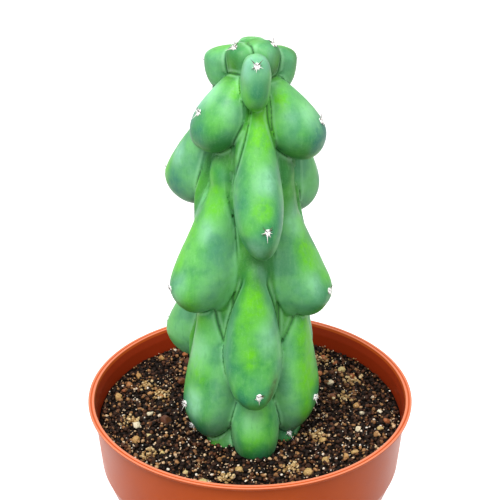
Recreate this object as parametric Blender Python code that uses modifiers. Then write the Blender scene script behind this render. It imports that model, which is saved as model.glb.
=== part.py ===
"""Boobie cactus in its nursery pot.

A six-ribbed cactus whose ribs have swollen into smooth hanging tubercles, each with a
woolly, short-spined areole.  It stands in a gritty potting mix in a thin plastic pot.
Units are metres, +Z is up, and the origin is the middle of the pot's base.
"""

import math
import random
from dataclasses import dataclass

import bmesh
import bpy
from mathutils import Matrix, Vector, noise

# Pot
POT_HEIGHT = 0.130
LIP_RADIUS = 0.076
LIP_WIDTH = 0.0028
LIP_THICKNESS = 0.0014
BAND_TOP_RADIUS = LIP_RADIUS - LIP_WIDTH + 0.0002
BAND_BOTTOM_RADIUS = 0.0709
BAND_BOTTOM = 0.0965
BODY_TOP_RADIUS = 0.0654
BODY_TOP = 0.0825
BASE_RADIUS = 0.0551
WALL = 0.0013
FLOOR = 0.0020
POT_STEPS = 48
DRAIN_HOLES = 6
DRAIN_RADIUS = 0.0048
DRAIN_CIRCLE = 0.042

# Potting mix
SOIL_TOP = 0.119
SOIL_STEPS = 48
SOIL_RINGS = 13
SOIL_RELIEF = 0.0011
SOIL_WAVE = 60.0              # noise scale of the broad waves, per metre
WAVE_SHARE = 0.6              # of the relief
CRUMB_SHARES = (-1.0, 0.6)
GAP = 0.0004
PLANT_ROOM = 0.045            # round the plant's axis, where no crumb or stone stands up
HOLE_MARGIN = 0.010           # tubercles ending less than this above the mix shape its hole
STONE_COUNT = 56
STONE_SIZES = (0.0014, 0.0026)
STONE_RIM = 0.0685            # largest distance of a stone's edge from the pot's axis
STONE_SPACING = 0.0006
STONE_SINK = 0.2              # depth of a stone's middle in the mix, as a share of its radius
STONE_CORNERS = (0.82, 1.12)  # shares of the radius that a stone's corners are drawn between
STONE_WIDTHS = (0.7, 1.0)
STONE_HEIGHTS = (0.6, 0.8)
STONES = (                    # x, y and radius of the stones that stand out
    (-0.0395, -0.0095, 0.0033), (-0.0045, -0.0485, 0.0024), (-0.0465, -0.0215, 0.0018),
    (-0.0285, -0.0505, 0.0016), (-0.0455, 0.0480, 0.0019), (-0.0335, 0.0505, 0.0019),
    (0.0510, 0.0035, 0.0019), (0.0530, -0.0035, 0.0016), (0.0350, 0.0325, 0.0018),
    (0.0380, 0.0465, 0.0024), (0.0330, -0.0255, 0.0024), (0.0335, -0.0420, 0.0022),
    (0.0255, -0.0505, 0.0023), (0.0640, -0.0110, 0.0020), (-0.0530, -0.0130, 0.0022),
    (-0.0430, 0.0110, 0.0019), (-0.0615, 0.0170, 0.0017), (0.0430, -0.0385, 0.0016),
    (0.0400, 0.0105, 0.0022), (-0.0395, -0.0355, 0.0016))

# Plant: the stem's axis and the ribs round it
AXIS = Vector((0.001, -0.008, 0.0))
RIB_TURN = 5
RIB_STEP = 60
FRONT, RIGHT_FRONT, RIGHT_BACK, BACK, LEFT_BACK, LEFT_FRONT = (
    RIB_TURN + RIB_STEP * rib for rib in range(6))
STEM_FOOT = 0.100
STEM_OUTLINE = (
    (0.0170, STEM_FOOT), (0.0200, 0.119), (0.0205, 0.150), (0.0195, 0.190), (0.0172, 0.230),
    (0.0135, 0.262), (0.0095, 0.285), (0.0055, 0.296))
STEM_TIP = 0.299
CORE_RADIUS = 0.50            # the stem's middle and its ribs, as shares of the outline
RIB_CENTRE = 0.62
RIB_RADIUS = 0.56
RIB_TIP = 0.286
STEM_STEPS = 12
REACH_SHARE = 0.25
SECTION_POWER = 2.3
NECK_CLOSE = 0.12
DOME_ROOT = 0.004             # height over which a domed tubercle's back comes free

# Areoles
WOOL_RADIUS = 0.0014
WOOL_SHAPE = (1.0, 1.1, 0.8)
WOOL_SINK = 0.0005
SURFACE_STEP = 0.0005         # between the points that give the slope of the skin
SPINE_RADIUS = 0.0004
SPINE_LENGTHS = (0.0042, 0.0030, 0.0032, 0.0028)
SPINE_LEAN = 52
SPINE_STRAY = 11
LOW_AREOLE = (-0.0108, -0.0036)   # second areole of the left front foot: height and shift


@dataclass
class Lobe:
    """One tubercle or fold, drawn in the upright plane that runs out from the stem's axis."""
    name: str
    angle: float              # degrees round the stem, 0 to the front, 90 to the right
    height: float             # height of its widest reach
    reach: float              # distance of that point from the stem's axis
    rise: float               # height of the slope above it
    drop: float               # height of the round end below it
    half_width: float
    neck: float               # distance of the slope's top from the stem's axis
    neck_half_width: float = 0.004
    bend: float = 1.0         # over 1 swells the slope, under 1 hollows it
    tail: float = 0.0         # length of plain neck above the slope
    tuck: float = 0.68        # how far in the lowest point sits, as a share of the reach
    belly: float = 0.15       # height of the full width, as a share of the rise
    fullness: float = 0.5     # how early the neck widens, from 0 to 1
    lean: float = 0.0         # sideways shift of the round end
    neck_lean: float = 0.0    # sideways shift of the slope's top
    domed: bool = False       # True where the top is as round as the bottom
    areole: float = 0.0       # height of the areole above the widest reach
    areole_side: float = 0.0  # sideways shift of the areole
    spiny: bool = True

    @property
    def top(self):
        return self.height + self.rise + self.tail

    @property
    def bottom(self):
        return self.height - self.drop

    @property
    def low_reach(self):
        return self.tuck * self.reach

    def height_at(self, share):
        """Height from bottom to top, with REACH_SHARE at the widest reach."""
        if share < REACH_SHARE:
            return self.bottom + self.drop * share / REACH_SHARE
        return self.height + (self.top - self.height) * (share - REACH_SHARE) / (1 - REACH_SHARE)

    def outer(self, z):
        """Distance of the outer face from the stem's axis at height z."""
        if z >= self.height:
            up = min((z - self.height) / self.rise, 1.0)
            if self.domed:
                return self.neck + (self.reach - self.neck) * blunt_round(up)
            return self.reach - (self.reach - self.neck) * up ** self.bend
        return self.low_reach + (self.reach - self.low_reach) * quarter_round(
            (self.height - z) / self.drop)

    def inner(self, z):
        """Distance of the hidden face from the stem's axis at height z."""
        root = 0.5 * stem_radius(self.height)
        turn = 1.5 * self.drop
        down = (self.bottom + turn - z) / turn
        hidden = self.low_reach - (self.low_reach - root) * quarter_round(down)
        if self.domed:
            back = 2.0 * self.neck - self.outer(z)
            free = min(1.0, max(0.0, (z - self.height) / DOME_ROOT))
            return hidden + (back - hidden) * smooth(free)
        return hidden

    def half(self, z):
        """Half of the width at height z."""
        widest = self.height + self.belly * self.rise
        if z < widest:
            down = (widest - z) / (widest - self.bottom)
            return self.half_width * (blunt_round(down) if self.domed else quarter_round(down))
        narrow = self.height + self.rise + 0.5 * self.tail
        down = max(0.0, (narrow - z) / (narrow - widest))
        if self.domed:
            swell = blunt_round(1.0 - down)
        else:
            swell = ((1.0 - self.fullness) * smooth(down)
                     + self.fullness * math.sin(down * math.pi / 2))
        return self.neck_half_width + (self.half_width - self.neck_half_width) * swell

    def shift(self, z):
        """Sideways shift of the middle at height z."""
        down = (self.top - z) / (self.top - self.bottom)
        return self.lean * down ** 3 + self.neck_lean * (1.0 - down) ** 2

    def section(self, z, around, closing=1.0, grow=0.0):
        """Reach and sideways place of the skin at height z, at an angle round the section."""
        power = 2.0 / SECTION_POWER
        middle = 0.5 * (self.outer(z) + self.inner(z))
        depth = 0.5 * (self.outer(z) - self.inner(z)) * closing + grow
        width = self.half(z) * closing + grow
        return (middle + depth * signed_power(math.cos(around), power),
                self.shift(z) + width * signed_power(math.sin(around), power))

    def place(self, reach, side, z):
        """World position of a point given in this lobe's own plane."""
        turn = math.radians(self.angle)
        outward = Vector((math.sin(turn), -math.cos(turn), 0.0))
        across = Vector((math.cos(turn), math.sin(turn), 0.0))
        return AXIS + reach * outward + side * across + Vector((0.0, 0.0, z))


def crown_lobe(name, angle, height, reach, areole, areole_side=0.0):
    return Lobe(name, angle, height, reach, 0.0050, 0.0115, 0.0061, 0.0040, 0.0020,
                tuck=0.63, domed=True, areole=areole, areole_side=areole_side)


def fold(name, angle, height, reach, rise, drop, half_width=0.0020, neck=0.0190):
    """A narrow upright fold of skin in the valley between two ribs."""
    return Lobe(name, angle, height, reach, rise, drop, half_width, neck, 0.0014,
                tuck=0.77, spiny=False)


TUBERCLES = (
    crown_lobe("crown_left", LEFT_FRONT, 0.2962, 0.0112, 0.0040, 0.0002),
    crown_lobe("crown_right", RIGHT_FRONT - 5, 0.2970, 0.0115, 0.0040, 0.0008),
    crown_lobe("crown_back", BACK - 5, 0.2965, 0.0110, 0.0),

    Lobe("top_front", FRONT - 1, 0.2888, 0.0268, 0.0128, 0.0105, 0.0061, 0.0190, 0.0,
         tuck=0.74, belly=0.12, domed=True, areole=0.0095),
    Lobe("top_right_back", RIGHT_BACK - 3, 0.2915, 0.0198, 0.0070, 0.0135, 0.0080, 0.0060,
         bend=4.0, areole=-0.0020),
    Lobe("top_left_back", LEFT_BACK - 3, 0.2915, 0.0215, 0.0070, 0.0125, 0.0080, 0.0060,
         bend=4.0, areole=-0.0020),

    Lobe("upper_left_front", LEFT_FRONT + 4, 0.2680, 0.0275, 0.0225, 0.0122, 0.0120, 0.0110,
         bend=1.7, tuck=0.58, lean=-0.0065, neck_lean=0.0015, areole=0.0072, areole_side=-0.0040),
    Lobe("upper_right_front", RIGHT_FRONT, 0.2650, 0.0316, 0.0230, 0.0126, 0.0124, 0.0110,
         bend=1.5, tuck=0.66, lean=0.0055, areole=0.0052, areole_side=0.0036),
    Lobe("upper_back", BACK - 2, 0.2660, 0.0290, 0.0220, 0.0120, 0.0115, 0.0110,
         bend=1.7, tuck=0.61, areole=0.0080),

    Lobe("mid_front", FRONT - 2, 0.2340, 0.0405, 0.0420, 0.0157, 0.0104, 0.0170, 0.0028,
         tail=0.0080, tuck=0.79, belly=0.14, fullness=0.35, lean=0.0026, neck_lean=0.0030,
         areole_side=0.0026),
    Lobe("mid_right_back", RIGHT_BACK, 0.2350, 0.0330, 0.0340, 0.0140, 0.0120, 0.0180,
         bend=1.3, tail=0.0140),
    Lobe("mid_left_back", LEFT_BACK, 0.2390, 0.0412, 0.0340, 0.0135, 0.0120, 0.0180,
         bend=1.3, tail=0.0140),

    Lobe("waist_left_front", LEFT_FRONT, 0.2000, 0.0413, 0.0400, 0.0140, 0.0126, 0.0200, 0.0050,
         tail=0.0140, fullness=0.35, areole=-0.0012, areole_side=-0.0035),
    Lobe("waist_right_front", RIGHT_FRONT, 0.1955, 0.0380, 0.0400, 0.0135, 0.0128, 0.0170, 0.0050,
         bend=0.85, tail=0.0140, fullness=0.35, tuck=0.66),
    Lobe("waist_back", BACK, 0.1990, 0.0410, 0.0350, 0.0140, 0.0130, 0.0230, 0.0045,
         tail=0.0300),

    Lobe("low_front", FRONT - 6, 0.1550, 0.0400, 0.0500, 0.0095, 0.0128, 0.0268, 0.0038,
         tail=0.0060, tuck=0.75, belly=0.25, lean=0.0015, neck_lean=0.0018, areole=0.0015,
         areole_side=0.0026),
    Lobe("low_right_back", RIGHT_BACK, 0.1580, 0.0310, 0.0380, 0.0120, 0.0120, 0.0220, 0.0050,
         bend=1.2, tail=0.0300),
    Lobe("low_left_back", LEFT_BACK, 0.1620, 0.0430, 0.0380, 0.0140, 0.0120, 0.0220, 0.0050,
         bend=1.2, tail=0.0300),

    Lobe("foot_left_front", LEFT_FRONT, 0.1380, 0.0350, 0.0420, 0.0165, 0.0132, 0.0285, 0.0040,
         bend=0.9, tail=0.0140, lean=0.0018, areole=0.0012, areole_side=-0.0040),
    Lobe("foot_right_front", RIGHT_FRONT, 0.1420, 0.0320, 0.0390, 0.0215, 0.0142, 0.0260,
         bend=0.9, tail=0.0140, tuck=0.50, lean=-0.0022, areole=-0.0012),
    Lobe("foot_back", BACK, 0.1380, 0.0350, 0.0420, 0.0160, 0.0120, 0.0270, tail=0.0140),

    Lobe("base_front", FRONT - 1, 0.1270, 0.0320, 0.0240, 0.0180, 0.0108, 0.0260, 0.0060,
         tuck=0.75, lean=-0.0008, spiny=False),
    Lobe("base_right_back", RIGHT_BACK, 0.1240, 0.0310, 0.0300, 0.0160, 0.0110, 0.0240, 0.0060,
         tuck=0.77, areole=0.0060),
    Lobe("base_left_back", LEFT_BACK, 0.1240, 0.0330, 0.0300, 0.0160, 0.0110, 0.0240, 0.0060,
         tuck=0.73, areole=0.0060),
    Lobe("base_left", LEFT_FRONT + 15, 0.1170, 0.0280, 0.0120, 0.0140, 0.0080, 0.0210, 0.0050,
         tuck=0.79, spiny=False),
    Lobe("base_right", RIGHT_FRONT - 17, 0.1165, 0.0248, 0.0100, 0.0120, 0.0056, 0.0210,
         tuck=0.85, areole=0.0060),
)

FOLDS = (
    fold("fold_upper_left", FRONT - 20, 0.2540, 0.0225, 0.034, 0.012, 0.0032, 0.0140),
    fold("fold_upper_right", FRONT + 17, 0.2540, 0.0222, 0.034, 0.012, 0.0030, 0.0140),
    fold("fold_side_left", LEFT_FRONT - 29, 0.2350, 0.0250, 0.022, 0.022),
    fold("fold_side_right", RIGHT_FRONT + 28, 0.2320, 0.0205, 0.025, 0.022),
    fold("fold_side_low_left", LEFT_FRONT - 29, 0.1650, 0.0290, 0.028, 0.030),
    fold("fold_side_low_right", RIGHT_FRONT + 29, 0.1650, 0.0260, 0.028, 0.030),
    fold("fold_back_right", BACK - 29, 0.2200, 0.0250, 0.035, 0.025),
    fold("fold_back_left", BACK + 29, 0.2200, 0.0255, 0.035, 0.025),
    fold("fold_back_low_right", BACK - 27, 0.1600, 0.0280, 0.035, 0.030),
    fold("fold_back_low_left", BACK + 27, 0.1600, 0.0285, 0.035, 0.030),
)

LOBE_SETS = (                 # with the sides and stations of each lobe's mesh
    (TUBERCLES, 12, 9),
    (FOLDS, 6, 6))


def smooth(t):
    return t * t * (3 - 2 * t)


def quarter_round(t):
    """Height of a quarter circle, from 1 at t = 0 to 0 at t = 1."""
    return math.sqrt(max(0.0, 1.0 - max(0.0, t) ** 2))


def blunt_round(t):
    """A rounder shoulder than a quarter circle, from 1 at t = 0 to 0 at t = 1."""
    return max(0.0, 1.0 - max(0.0, t) ** 2.5) ** 0.4


def signed_power(value, power):
    return math.copysign(abs(value) ** power, value)


def stem_radius(z):
    """Radius of the stem at height z, read along its outline."""
    below = STEM_OUTLINE[0]
    for above in STEM_OUTLINE[1:]:
        if z <= above[1]:
            share = (z - below[1]) / (above[1] - below[1])
            return below[0] + (above[0] - below[0]) * max(0.0, share)
        below = above
    return below[0] * max(0.0, (STEM_TIP - z) / (STEM_TIP - below[1]))


def clear_scene():
    for item in list(bpy.data.objects):
        bpy.data.objects.remove(item, do_unlink=True)


def collection(name):
    group = bpy.data.collections.new(name)
    bpy.context.scene.collection.children.link(group)
    return group


def plain_material(name, colour, roughness):
    made = bpy.data.materials.new(name)
    made.use_nodes = True
    shader = made.node_tree.nodes["Principled BSDF"]
    shader.inputs["Base Color"].default_value = (*colour, 1.0)
    shader.inputs["Roughness"].default_value = roughness
    shader.inputs["Metallic"].default_value = 0.0
    return made


def add_object(name, mesh, group, material=None):
    piece = bpy.data.objects.new(name, mesh)
    group.objects.link(piece)
    if material:
        mesh.materials.append(material)
    return piece


def object_from_bmesh(name, shape, group, material=None):
    bmesh.ops.recalc_face_normals(shape, faces=shape.faces)
    mesh = bpy.data.meshes.new(name)
    shape.to_mesh(mesh)
    shape.free()
    return add_object(name, mesh, group, material)


def apply_modifiers(piece):
    """Replace a piece's mesh with its evaluated one, and drop its modifiers."""
    bpy.context.view_layer.update()
    evaluated = piece.evaluated_get(bpy.context.evaluated_depsgraph_get())
    mesh = bpy.data.meshes.new_from_object(evaluated)
    piece.modifiers.clear()
    piece.data = mesh


def turned(name, outline, steps, group, material=None):
    """Solid of revolution from (radius, height) points that end down the outer side."""
    mesh = bpy.data.meshes.new(name)
    edges = [(i, i + 1) for i in range(len(outline) - 1)]
    mesh.from_pydata([(radius, 0.0, z) for radius, z in outline], edges, [])
    piece = add_object(name, mesh, group, material)
    screw = piece.modifiers.new("turn", "SCREW")
    screw.steps = steps
    screw.render_steps = steps
    screw.use_merge_vertices = True
    screw.merge_threshold = 0.00001
    return piece


def join_all(piece, group):
    """Fuse every object of a collection into a piece, then remove them."""
    union = piece.modifiers.new("fuse", "BOOLEAN")
    union.operation = "UNION"
    union.operand_type = "COLLECTION"
    union.collection = group
    union.solver = "MANIFOLD"
    apply_modifiers(piece)
    for item in list(group.objects):
        bpy.data.objects.remove(item, do_unlink=True)


def lobe_object(lobe, group, sides, stations, grow=0.0):
    """A sphere whose rows and columns are moved onto the lobe's own outlines."""
    shape = bmesh.new()
    bmesh.ops.create_uvsphere(shape, u_segments=sides, v_segments=stations, radius=1.0)
    for vert in shape.verts:
        share = 0.5 * (1.0 + vert.co.z)
        z = lobe.height_at(share)
        around = math.atan2(vert.co.y, vert.co.x)
        closing = quarter_round((share - 1.0 + NECK_CLOSE) / NECK_CLOSE)
        reach, side = lobe.section(z, around, closing, grow)
        vert.co = lobe.place(reach, side, z + grow * vert.co.z)
    return object_from_bmesh(lobe.name, shape, group)


def areoles():
    """Each areole's tubercle, height above its widest reach, and sideways shift."""
    made = [(lobe, lobe.areole, lobe.areole_side) for lobe in TUBERCLES if lobe.spiny]
    low = [(lobe, *LOW_AREOLE) for lobe in TUBERCLES if lobe.name == "foot_left_front"]
    return made + low


def areole_frame(lobe, rise, shift):
    """Place of an areole on a tubercle, with its Z axis square to the skin and Y up the slope."""
    z = lobe.height + rise
    around = math.asin(signed_power(shift / lobe.half(z), SECTION_POWER / 2.0))
    above = z + SURFACE_STEP
    beside = around + SURFACE_STEP
    place = lobe.place(*lobe.section(z, around), z)
    upward = lobe.place(*lobe.section(above, around), above) - place
    across = lobe.place(*lobe.section(z, beside), z) - place
    outward = across.cross(upward).normalized()
    upward.normalize()
    frame = Matrix((upward.cross(outward), upward, outward)).transposed().to_4x4()
    frame.translation = place - WOOL_SINK * outward
    return frame


def add_areole(name, frame, group, rng):
    """A pad of wool with a star of short spines, the longest one pointing down."""
    shape = bmesh.new()
    bmesh.ops.create_icosphere(shape, subdivisions=1, radius=WOOL_RADIUS)
    bmesh.ops.transform(shape, matrix=frame @ Matrix.Diagonal((*WOOL_SHAPE, 1.0)),
                        verts=shape.verts)
    object_from_bmesh(name + "_wool", shape, group)
    for number, length in enumerate(SPINE_LENGTHS):
        spin = 180 + 360 / len(SPINE_LENGTHS) * number + rng.uniform(-SPINE_STRAY, SPINE_STRAY)
        spin = math.radians(spin)
        lean = math.radians(SPINE_LEAN + rng.uniform(-SPINE_STRAY, SPINE_STRAY))
        turn = Matrix.Rotation(-spin, 4, "Z") @ Matrix.Rotation(-lean, 4, "X")
        shape = bmesh.new()
        bmesh.ops.create_cone(shape, cap_ends=True, segments=3, depth=length,
                              radius1=SPINE_RADIUS, radius2=0.0)
        bmesh.ops.translate(shape, vec=(0.0, 0.0, 0.5 * length), verts=shape.verts)
        bmesh.ops.transform(shape, matrix=frame @ turn, verts=shape.verts)
        object_from_bmesh(f"{name}_spine_{number}", shape, group)


def column(name, group, outline, tip, share, grow):
    """Round column round the origin, a share of an outline wide, from the foot to a tip."""
    points = [(0.0, tip + grow)]
    points += [(share * radius + grow, z) for radius, z in reversed(outline)]
    points[-1] = (points[-1][0], STEM_FOOT - grow)
    points.append((0.0, STEM_FOOT - grow))
    piece = turned(name, points, STEM_STEPS, group)
    apply_modifiers(piece)
    return piece


def make_core(name, group, grow=0.0):
    """The middle of the stem, hidden inside the ribs and the crown."""
    core = column(name, group, STEM_OUTLINE, STEM_TIP, CORE_RADIUS, grow)
    core.data.transform(Matrix.Translation(AXIS))
    return core


def add_ribs(group, grow=0.0):
    """Six round columns that overlap round the stem's middle and taper with it."""
    for number, angle in enumerate((FRONT, RIGHT_FRONT, RIGHT_BACK, BACK, LEFT_BACK, LEFT_FRONT)):
        turn = math.radians(angle)
        outward = Vector((math.sin(turn), -math.cos(turn), 0.0))
        rib = column(f"rib_{number}", group, STEM_OUTLINE[:-1], RIB_TIP, RIB_RADIUS, grow)
        for vert in rib.data.vertices:
            vert.co += AXIS + RIB_CENTRE * stem_radius(vert.co.z) * outward


def make_cactus(parts, scraps):
    """The stem with its ribs, tubercles, folds, pads of wool and spines grown onto it."""
    rng = random.Random(11)
    cactus = make_core("cactus", parts)
    cactus.data.materials.append(plain_material("cactus_skin", (0.12, 0.42, 0.13), 0.45))
    add_ribs(scraps)
    for lobes, sides, stations in LOBE_SETS:
        for lobe in lobes:
            lobe_object(lobe, scraps, sides, stations)
    for number, areole in enumerate(areoles()):
        add_areole(f"areole_{number}", areole_frame(*areole), scraps, rng)
    join_all(cactus, scraps)
    return cactus


def pot_outline():
    """(radius, height) points: up the inside from the middle of the floor, down the outside."""
    lip_under = POT_HEIGHT - LIP_THICKNESS
    inner_lip = LIP_RADIUS - LIP_WIDTH
    return (
        (0.0, FLOOR), (BASE_RADIUS - WALL, FLOOR),
        (BODY_TOP_RADIUS - WALL, BODY_TOP), (BAND_BOTTOM_RADIUS - WALL, BAND_BOTTOM + 0.001),
        (inner_lip - 0.0014, POT_HEIGHT - 0.0050), (inner_lip, POT_HEIGHT),
        (LIP_RADIUS - 0.0006, POT_HEIGHT), (LIP_RADIUS, POT_HEIGHT - 0.0006),
        (LIP_RADIUS - 0.0002, lip_under),
        (BAND_TOP_RADIUS, lip_under - 0.0006),
        (BAND_BOTTOM_RADIUS, BAND_BOTTOM + 0.0010), (BAND_BOTTOM_RADIUS - 0.0008, BAND_BOTTOM - 0.0010),
        (BODY_TOP_RADIUS, BODY_TOP), (BASE_RADIUS, 0.0010), (BASE_RADIUS - 0.0010, 0.0), (0.0, 0.0))


def make_pot(parts, cutters):
    pot = turned("pot", pot_outline(), POT_STEPS, parts,
                 plain_material("terracotta_plastic", (0.46, 0.09, 0.03), 0.42))
    shape = bmesh.new()
    for number in range(DRAIN_HOLES):
        turn = Matrix.Rotation(math.tau * (number + 0.5) / DRAIN_HOLES, 4, "Z")
        place = turn @ Matrix.Translation((DRAIN_CIRCLE, 0.0, 0.5 * FLOOR))
        bmesh.ops.create_cone(shape, cap_ends=True, segments=12, depth=3 * FLOOR,
                              radius1=DRAIN_RADIUS, radius2=DRAIN_RADIUS, matrix=place)
    holes = object_from_bmesh("drain_holes", shape, cutters)
    holes.hide_render = True
    holes.display_type = "WIRE"
    cut = pot.modifiers.new("drain", "BOOLEAN")
    cut.operation = "DIFFERENCE"
    cut.object = holes
    return pot


def inner_pot_radius(z):
    """Radius of the inside of the pot at height z."""
    points = [point[::-1] for point in pot_outline()[1:6]]
    for below, above in zip(points, points[1:]):
        if z <= above[0]:
            share = (z - below[0]) / (above[0] - below[0])
            return below[1] + (above[1] - below[1]) * share
    return points[-1][1]


def soil_outline():
    rim = inner_pot_radius(SOIL_TOP) - GAP
    rings = [(rim * ring / SOIL_RINGS, SOIL_TOP) for ring in range(SOIL_RINGS + 1)]
    shoulder = (inner_pot_radius(BAND_BOTTOM) - 2 * GAP, BAND_BOTTOM)
    waist = (inner_pot_radius(BODY_TOP) - GAP, BODY_TOP)
    bottom = FLOOR + GAP
    return rings + [shoulder, waist, (inner_pot_radius(bottom) - GAP, bottom), (0.0, bottom)]


def roughen(soil, rng):
    """Raise crumbs over the top of the mix, and keep it low round the plant and the rim."""
    rim = inner_pot_radius(SOIL_TOP) - GAP
    for vert in soil.data.vertices:
        reach = math.hypot(vert.co.x, vert.co.y)
        if abs(vert.co.z - SOIL_TOP) > GAP or reach > rim - GAP:
            continue
        wave = noise.noise(vert.co * SOIL_WAVE)
        vert.co.z += SOIL_RELIEF * (WAVE_SHARE * wave + rng.uniform(*CRUMB_SHARES))
        if (vert.co - AXIS).xy.length < PLANT_ROOM:
            vert.co.z = min(vert.co.z, SOIL_TOP)


def stone_places():
    """Place and radius of each larger stone: the known ones, then others drawn between them."""
    rng = random.Random(7)
    placed = [(Vector((x, y)), size) for x, y, size in STONES]
    while len(placed) < STONE_COUNT:
        size = rng.uniform(*STONE_SIZES)
        reach = (STONE_RIM - size) * math.sqrt(rng.random())
        turn = rng.uniform(0.0, math.tau)
        spot = Vector((reach * math.cos(turn), reach * math.sin(turn)))
        crowded = any((spot - other).length < size + wide + STONE_SPACING
                      for other, wide in placed)
        if not crowded and (spot - AXIS.xy).length > PLANT_ROOM:
            placed.append((spot, size))
    return placed


def add_stones(soil, group, rng):
    """Larger grains of grit, half sunk in the mix, clear of the plant and the rim."""
    bpy.context.view_layer.update()
    for number, (spot, size) in enumerate(stone_places()):
        _, seat, _, _ = soil.ray_cast((*spot, POT_HEIGHT), (0.0, 0.0, -1.0))
        seat.z -= STONE_SINK * size
        shape = bmesh.new()
        bmesh.ops.create_icosphere(shape, subdivisions=1, radius=size)
        for vert in shape.verts:
            vert.co *= rng.uniform(*STONE_CORNERS)
        squash = Matrix.Diagonal((1.0, rng.uniform(*STONE_WIDTHS), rng.uniform(*STONE_HEIGHTS), 1.0))
        spin = Matrix.Rotation(rng.uniform(0.0, math.tau), 4, "Z")
        bmesh.ops.transform(shape, matrix=Matrix.Translation(seat) @ spin @ squash,
                            verts=shape.verts)
        object_from_bmesh(f"stone_{number}", shape, group)


def make_soil(parts, scraps, cutters):
    """Potting mix that fills the pot, with a hole that the foot of the plant stands in."""
    rng = random.Random(5)
    soil = turned("potting_mix", soil_outline(), SOIL_STEPS, parts,
                  plain_material("gritty_mix", (0.05, 0.03, 0.02), 0.95))
    apply_modifiers(soil)
    roughen(soil, rng)
    add_stones(soil, scraps, rng)
    join_all(soil, scraps)
    hole = make_core("planting_hole", cutters, GAP)
    add_ribs(scraps, GAP)
    for lobes, sides, stations in LOBE_SETS:
        for lobe in lobes:
            if lobe.bottom < SOIL_TOP + HOLE_MARGIN:
                lobe_object(lobe, scraps, sides, stations, GAP)
    join_all(hole, scraps)
    hole.hide_render = True
    hole.display_type = "WIRE"
    cut = soil.modifiers.new("hole", "BOOLEAN")
    cut.operation = "DIFFERENCE"
    cut.object = hole
    cut.solver = "MANIFOLD"
    return soil


def main():
    clear_scene()
    parts = collection("boobie_cactus")
    cutters = collection("cutters")
    scraps = collection("scraps")
    make_pot(parts, cutters)
    make_soil(parts, scraps, cutters)
    make_cactus(parts, scraps)
    bpy.data.collections.remove(scraps)


main()
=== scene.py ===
"""Looks of the boobie cactus in its nursery pot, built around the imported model.

The plant is one smooth skin over the tubercles, folds and stem of the model, with wool and
spines on its areoles.  The pot is turned afresh with two fine ridges on its lip, and loose grit
lies on the potting mix.  Units are metres, +Z is up, and the origin is the middle of the pot's
base.
"""

import math
import random
from dataclasses import dataclass

import bmesh
import bpy
import numpy as np
from mathutils import Matrix, Vector, noise
from mathutils.bvhtree import BVHTree


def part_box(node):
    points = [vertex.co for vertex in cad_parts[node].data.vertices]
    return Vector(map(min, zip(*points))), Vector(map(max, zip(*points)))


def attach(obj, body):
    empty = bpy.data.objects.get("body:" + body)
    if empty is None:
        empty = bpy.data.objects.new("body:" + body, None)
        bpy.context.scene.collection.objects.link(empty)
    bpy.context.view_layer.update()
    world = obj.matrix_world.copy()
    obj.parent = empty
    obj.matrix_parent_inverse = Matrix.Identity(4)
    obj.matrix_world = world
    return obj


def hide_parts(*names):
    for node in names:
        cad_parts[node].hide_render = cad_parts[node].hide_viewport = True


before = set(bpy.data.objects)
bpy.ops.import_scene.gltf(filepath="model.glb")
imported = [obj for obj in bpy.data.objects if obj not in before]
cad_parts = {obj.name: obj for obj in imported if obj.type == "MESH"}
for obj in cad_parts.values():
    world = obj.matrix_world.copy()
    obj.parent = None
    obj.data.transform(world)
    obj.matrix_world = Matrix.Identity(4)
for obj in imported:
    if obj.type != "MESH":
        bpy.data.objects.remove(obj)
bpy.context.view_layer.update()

# Pot, from the frame's box and the model's other dimensions
POT_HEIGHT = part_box("pot")[1][2]
LIP_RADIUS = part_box("pot")[1][1]
LIP_WIDTH = 0.0028
LIP_THICKNESS = 0.0014
LIP_ROUND = 0.0005
LIP_HOLLOW = 0.0003  # depth between the two fine ridges on the lip
RIDGE_HIGHLIGHT = 0.8  # strength of the painted highlight on the lip's two ridges
BAND_TOP_RADIUS = LIP_RADIUS - LIP_WIDTH + 0.0002
BAND_BOTTOM_RADIUS = 0.0709
BAND_BOTTOM = 0.0965
BODY_TOP_RADIUS = 0.0654
BODY_TOP = 0.0825
BASE_RADIUS = 0.0551
WALL = 0.0013
FLOOR = 0.002
POT_STEPS = 192
DRAIN_HOLES = 6
DRAIN_RADIUS = 0.0048
DRAIN_CIRCLE = 0.042

# Potting mix
SOIL_TOP = 0.119
SOIL_RADIUS = 0.0712
BED_RINGS = 60
BED_STEPS = 240
BED_RELIEF = 0.0009
BED_SINK = 0.0004  # how far the bed lies under its top and inside the pot
CRUMB_SPACING = 0.002
ROW_STEP = 0.866  # distance between two rows of crumbs, in spacings
BROWN_SHARE = 0.14  # of the crumbs
GRITS = 2300
PALE_SHARES = (0.1, 0.3)  # of the grit at the back, and how many more in front
SPECKS = 900
CLUMP_GRITS = 34
CLUMP_SPREAD = 0.42  # of a clump's grit, as a share of its radius
CRUMB, GRIT, SPECK, CLUMP_GRIT = (  # ranges of height above the bed, and of radius
    ((-0.0007, 0.0007), (0.0007, 0.0017)), ((0.0, 0.0012), (0.0005, 0.0013)),
    ((0.0006, 0.0014), (0.0003, 0.0005)), ((0.0004, 0.0022), (0.0005, 0.001)))
CLUMPS = (  # x, y and radius of the clumps of tan grit
    (-0.0506, 0.0209, 0.0045), (-0.0426, 0.0118, 0.005), (0.0305, -0.0222, 0.005),
    (0.0358, 0.0438, 0.006), (0.0461, 0.0091, 0.0045), (-0.0448, -0.0363, 0.005),
    (-0.0108, -0.0549, 0.0045), (0.0178, -0.0476, 0.0045), (-0.056, -0.01, 0.005),
    (0.052, 0.025, 0.005))
STONE_COUNT = 56
STONE_SIZES = (0.0014, 0.0026)
STONE_RIM = 0.0685  # largest distance of a stone's edge from the pot's axis
STONE_SPACING = 0.0006
STONE_SINK = 0.2  # depth of a stone's middle in the mix, as a share of its radius
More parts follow.
